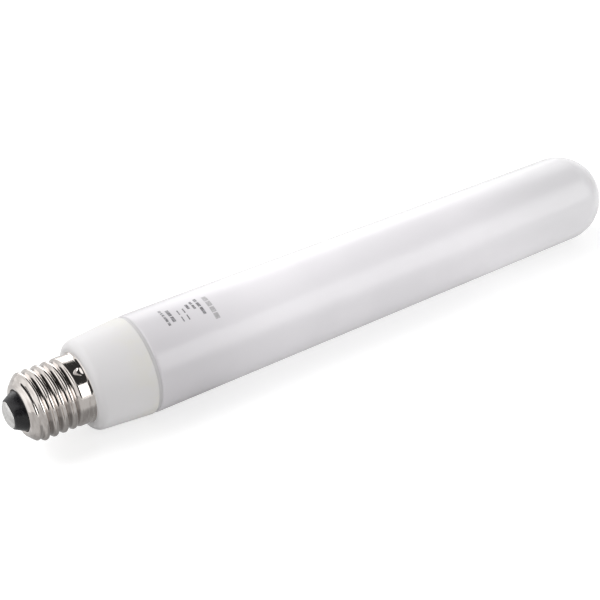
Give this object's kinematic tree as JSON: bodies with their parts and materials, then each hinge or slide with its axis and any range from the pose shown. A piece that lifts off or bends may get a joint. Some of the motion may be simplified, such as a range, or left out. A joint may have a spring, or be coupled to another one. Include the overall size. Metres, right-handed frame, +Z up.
{
  "type": "tubular light bulb",
  "caption": "Opal white tubular lamp with a rounded end, a tapered plastic collar and a metal screw cap with a black insulator and a centre contact.",
  "frame": {"origin": "middle of the centre contact's outer face, on the lamp's axis", "axes": "+X along the lamp's axis from the contact to the rounded end, +Z up, with the lamp lying on its side"},
  "size_m": [0.288, 0.038, 0.038],
  "materials": {
    "opal_tube": "opal white, smooth and glossy; it stands for opal glass that can't be seen into",
    "collar": "white moulded plastic, satin",
    "cap_metal": "bright nickel-plated sheet",
    "insulator": "black moulded insulator, satin",
    "contact_metal": "satin tinned metal"
  },
  "bodies": {
    "root": {"opal_tube": "opal_tube", "collar": "collar", "screw_shell": "cap_metal", "insulator": "insulator", "centre_contact": "contact_metal"}
  },
  "joints": []
}
